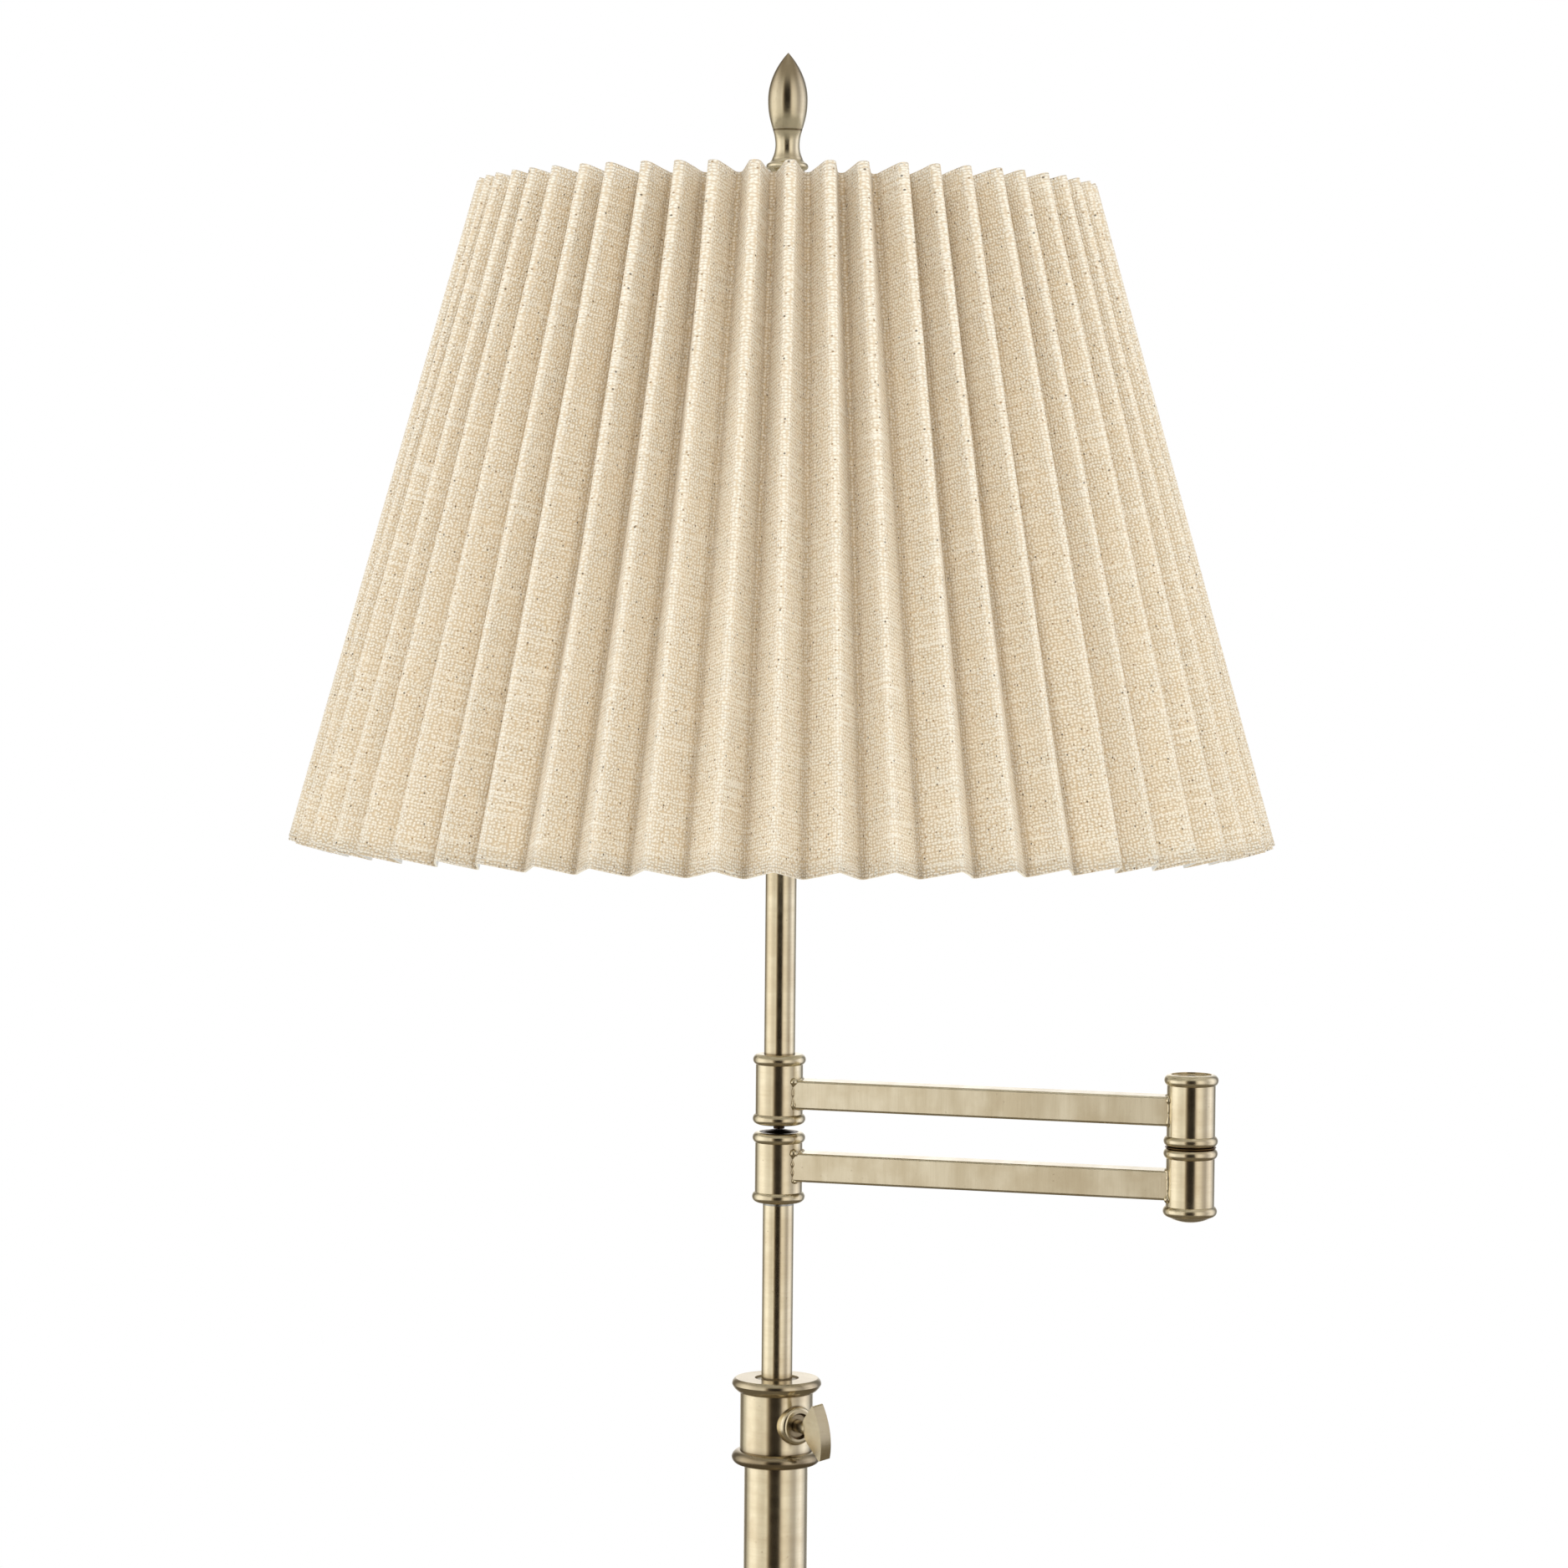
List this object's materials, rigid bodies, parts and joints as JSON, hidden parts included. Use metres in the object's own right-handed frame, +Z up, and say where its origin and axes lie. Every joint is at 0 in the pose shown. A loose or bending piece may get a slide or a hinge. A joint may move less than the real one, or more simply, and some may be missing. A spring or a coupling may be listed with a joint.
{
  "type": "bridge floor lamp",
  "caption": "Standing reading lamp with a weighted round base, height-adjustable pole, folding swing arms and a pleated linen shade.",
  "frame": {"origin": "on the floor on the axis of the pole, under the base", "axes": "+Z up along the pole; +X along the folded arms, seen to the right from the front; -Y is the front, the side with the switch knob"},
  "size_m": [0.4076, 0.408, 1.4514],
  "materials": {
    "antique_brass": "brushed antique brass, light tan highlights and dark brown shading",
    "dark_cap": "dark bronze, satin",
    "cast_iron": "rough cast, painted black",
    "felt": "black felt",
    "plain_steel": "zinc-plated steel",
    "shade_wire": "white-coated wire",
    "harp_steel": "brass-plated steel",
    "nylon": "natural nylon",
    "black_plastic": "black moulded plastic",
    "phenolic": "dark phenolic",
    "card_liner": "brown fibre board",
    "thread_shell": "bright rolled thread",
    "contact_brass": "plain brass",
    "bulb_glass": "frosted white glass",
    "linen": "natural beige linen, nubby weave, pleated"
  },
  "bodies": {
    "stand": {"base_cover": "antique_brass", "base_weight": "cast_iron", "base_felt_pad": "felt", "base_washer": "plain_steel", "base_nut": "plain_steel", "base_rod": "plain_steel", "cord_bushing": "black_plastic", "pole_foot_collar": "antique_brass", "pole_foot_plug": "plain_steel", "pole_lower": "antique_brass", "pole_coupling": "antique_brass", "pole_upper": "antique_brass", "adjuster_collar": "antique_brass", "guide_bush": "nylon", "key_boss": "antique_brass"},
    "thumb_key": {"key_shank": "antique_brass", "key_wing": "antique_brass"},
    "post": {"inner_post": "antique_brass", "post_stop_ring": "nylon", "post_thrust_washer": "plain_steel", "post_pivot_stud": "plain_steel", "lower_hub_lock_nut": "plain_steel"},
    "lower_arm": {"lower_arm_hub": "antique_brass", "lower_arm_bar": "antique_brass", "lower_arm_sleeve": "antique_brass", "lower_hub_cap": "dark_cap", "pivot_bottom_cap": "antique_brass", "pivot_stud": "plain_steel", "pivot_lock_nut": "plain_steel"},
    "upper_arm": {"upper_arm_sleeve": "antique_brass", "upper_arm_bar": "antique_brass", "upper_arm_hub": "antique_brass", "upper_hub_under_cap": "dark_cap", "pivot_top_plug": "antique_brass", "riser": "antique_brass", "riser_nipple": "plain_steel", "check_ring": "antique_brass", "harp_saddle": "harp_steel", "harp": "harp_steel", "harp_stud": "harp_steel", "socket_cap": "antique_brass", "socket_shell": "antique_brass", "socket_liner": "card_liner", "socket_core": "phenolic", "socket_screw_shell": "thread_shell", "center_contact": "contact_brass", "bulb_base": "thread_shell", "bulb_glass": "bulb_glass"},
    "switch": {"switch_stem": "black_plastic", "switch_knob": "black_plastic"},
    "left_ferrule": {"left_ferrule": "antique_brass"},
    "right_ferrule": {"right_ferrule": "antique_brass"},
    "shade": {"shade_fabric": "linen", "shade_top_ring": "shade_wire", "shade_bottom_ring": "shade_wire", "shade_spider": "shade_wire"},
    "finial": {"finial": "antique_brass"}
  },
  "joints": [
    {"name": "height_slide", "type": "slide", "parent": "stand", "child": "post", "axis": [0, 0, 1], "range_m": [-0.07, 0.15]},
    {"name": "key_turn", "type": "hinge", "parent": "stand", "child": "thumb_key", "pos_m": [0.00828, -0.01275, 0.8838], "axis": [0.5446, -0.8387, 0], "range_deg": [0, 540]},
    {"name": "lower_arm_swing", "type": "hinge", "parent": "post", "child": "lower_arm", "pos_m": [0, 0, 0.99], "axis": [0, 0, 1], "range_deg": [-165, 165]},
    {"name": "upper_arm_swing", "type": "hinge", "parent": "lower_arm", "child": "upper_arm", "pos_m": [0.16699, -0.05233, 1.0064], "axis": [0, 0, 1], "range_deg": [-175, 175]},
    {"name": "switch_turn", "type": "hinge", "parent": "upper_arm", "child": "switch", "pos_m": [0, -0.02, 1.1971], "axis": [0, -1, 0], "continuous": true},
    {"name": "left_ferrule_slide", "type": "slide", "parent": "upper_arm", "child": "left_ferrule", "axis": [0, 0, 1], "range_m": [0, 0.012]},
    {"name": "right_ferrule_slide", "type": "slide", "parent": "upper_arm", "child": "right_ferrule", "axis": [0, 0, 1], "range_m": [0, 0.012]},
    {"name": "shade_turn", "type": "hinge", "parent": "upper_arm", "child": "shade", "pos_m": [0, 0, 1.3915], "axis": [0, 0, 1], "continuous": true},
    {"name": "finial_turn", "type": "hinge", "parent": "upper_arm", "child": "finial", "pos_m": [0, 0, 1.4], "axis": [0, 0, 1], "continuous": true}
  ]
}
